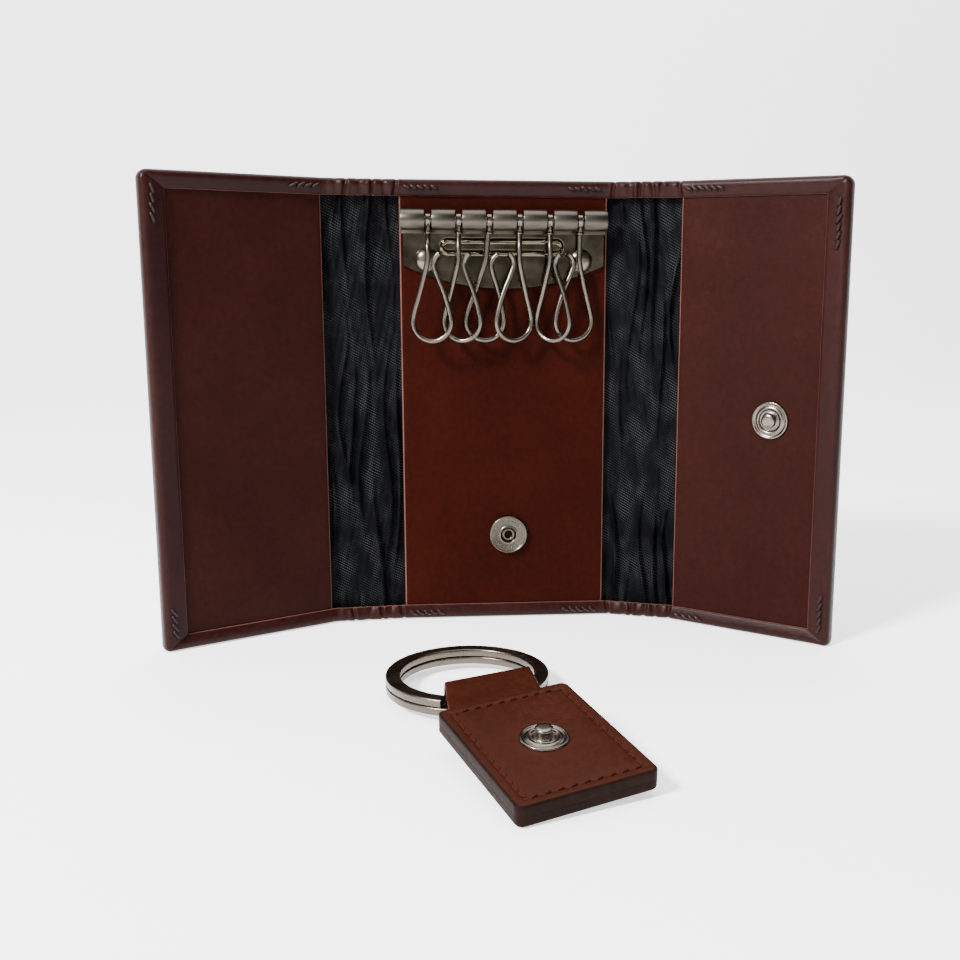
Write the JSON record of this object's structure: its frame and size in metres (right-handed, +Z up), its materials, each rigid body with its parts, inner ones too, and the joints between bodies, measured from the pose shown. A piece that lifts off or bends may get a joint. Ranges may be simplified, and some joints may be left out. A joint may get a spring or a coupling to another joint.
{
  "type": "key organiser",
  "caption": "Trifold leather key case standing open, with swinging wire key hooks on a riveted plate, and a detachable leather fob holding a split ring.",
  "frame": {"origin": "centre of the overall box, on the surface that the case and the fob stand on", "axes": "+X along the open case's width, to the right seen from its inside; +Y from the fob to the case's back; +Z up"},
  "size_m": [0.146, 0.1082, 0.1],
  "materials": {
    "cover_leather": "smooth waxed leather, purplish brown",
    "face_leather": "smooth reddish-brown leather",
    "fob_leather": "smooth brown leather with dark painted edges",
    "lining": "black twill",
    "board": "matte stiffener",
    "nickel": "polished nickel plate"
  },
  "bodies": {
    "centre": {"cover_centre": "cover_leather", "face_leather_centre": "face_leather", "board_centre": "board", "key_plate": "nickel", "hook_rod": "nickel", "plate_rivet_left": "nickel", "plate_rivet_right": "nickel", "centre_snap_socket": "nickel", "centre_snap_eyelet": "nickel"},
    "left_inner_fold": {"cover_left_inner_fold": "cover_leather", "lining_left_inner_fold": "lining"},
    "left_outer_fold": {"cover_left_outer_fold": "cover_leather", "lining_left_outer_fold": "lining"},
    "left_flap": {"cover_left_flap": "cover_leather", "face_leather_left_flap": "face_leather", "board_left_flap": "board", "left_flap_snap_socket": "nickel", "left_flap_snap_eyelet": "nickel"},
    "right_inner_fold": {"cover_right_inner_fold": "cover_leather", "lining_right_inner_fold": "lining"},
    "right_outer_fold": {"cover_right_outer_fold": "cover_leather", "lining_right_outer_fold": "lining"},
    "right_flap": {"cover_right_flap": "cover_leather", "face_leather_right_flap": "face_leather", "board_right_flap": "board", "right_flap_snap_stud": "nickel", "right_flap_snap_cap": "nickel"},
    "hook_1": {"hook_swivel_1": "nickel", "hook_wire_1": "nickel"},
    "hook_2": {"hook_swivel_2": "nickel", "hook_wire_2": "nickel"},
    "hook_3": {"hook_swivel_3": "nickel", "hook_wire_3": "nickel"},
    "hook_4": {"hook_swivel_4": "nickel", "hook_wire_4": "nickel"},
    "hook_5": {"hook_swivel_5": "nickel", "hook_wire_5": "nickel"},
    "hook_6": {"hook_swivel_6": "nickel", "hook_wire_6": "nickel"},
    "fob": {"fob_back_leather": "fob_leather", "fob_front_leather": "fob_leather", "fob_snap_stud": "nickel", "fob_snap_cap": "nickel", "fob_ring_loop": "fob_leather"},
    "split_ring": {"split_ring": "nickel"}
  },
  "joints": [
    {"name": "left_inner_crease", "type": "hinge", "parent": "centre", "child": "left_inner_fold", "pos_m": [-0.02215, 0.05175, 0.05], "axis": [0, 0, 1], "range_deg": [-5.4, 14.6]},
    {"name": "left_middle_crease", "type": "hinge", "parent": "left_inner_fold", "child": "left_outer_fold", "pos_m": [-0.02966, 0.05104, 0.05], "axis": [0, 0, 1], "range_deg": [0, 68]},
    {"name": "left_outer_crease", "type": "hinge", "parent": "left_outer_fold", "child": "left_flap", "pos_m": [-0.03718, 0.05032, 0.05], "axis": [0, 0, 1], "range_deg": [-23.6, 68.4]},
    {"name": "right_inner_crease", "type": "hinge", "parent": "centre", "child": "right_inner_fold", "pos_m": [0.02605, 0.05175, 0.05], "axis": [0, 0, -1], "range_deg": [-18.3, 61.7]},
    {"name": "right_middle_crease", "type": "hinge", "parent": "right_inner_fold", "child": "right_outer_fold", "pos_m": [0.03322, 0.04938, 0.05], "axis": [0, 0, -1], "range_deg": [0, 20]},
    {"name": "right_outer_crease", "type": "hinge", "parent": "right_outer_fold", "child": "right_flap", "pos_m": [0.04039, 0.047, 0.05], "axis": [0, 0, -1], "range_deg": [-18.5, 61.5]},
    {"name": "hook_1_swing", "type": "hinge", "parent": "centre", "child": "hook_1", "pos_m": [-0.0148, 0.04845, 0.0911], "axis": [1, 0, 0], "range_deg": [-150, 0]},
    {"name": "hook_2_swing", "type": "hinge", "parent": "centre", "child": "hook_2", "pos_m": [-0.0081, 0.04845, 0.0911], "axis": [1, 0, 0], "range_deg": [-150, 0]},
    {"name": "hook_3_swing", "type": "hinge", "parent": "centre", "child": "hook_3", "pos_m": [-0.0014, 0.04845, 0.0911], "axis": [1, 0, 0], "range_deg": [-150, 0]},
    {"name": "hook_4_swing", "type": "hinge", "parent": "centre", "child": "hook_4", "pos_m": [0.0053, 0.04845, 0.0911], "axis": [1, 0, 0], "range_deg": [-150, 0]},
    {"name": "hook_5_swing", "type": "hinge", "parent": "centre", "child": "hook_5", "pos_m": [0.012, 0.04845, 0.0911], "axis": [1, 0, 0], "range_deg": [-150, 0]},
    {"name": "hook_6_swing", "type": "hinge", "parent": "centre", "child": "hook_6", "pos_m": [0.0187, 0.04845, 0.0911], "axis": [1, 0, 0], "range_deg": [-150, 0]},
    {"name": "fob_lift", "type": "slide", "parent": "centre", "child": "fob", "axis": [0, 0, 1], "range_m": [0, 0.05]},
    {"name": "split_ring_turn", "type": "hinge", "parent": "fob", "child": "split_ring", "pos_m": [-0.008, 0.00195, 0.00285], "axis": [0, 0, 1], "continuous": true}
  ]
}
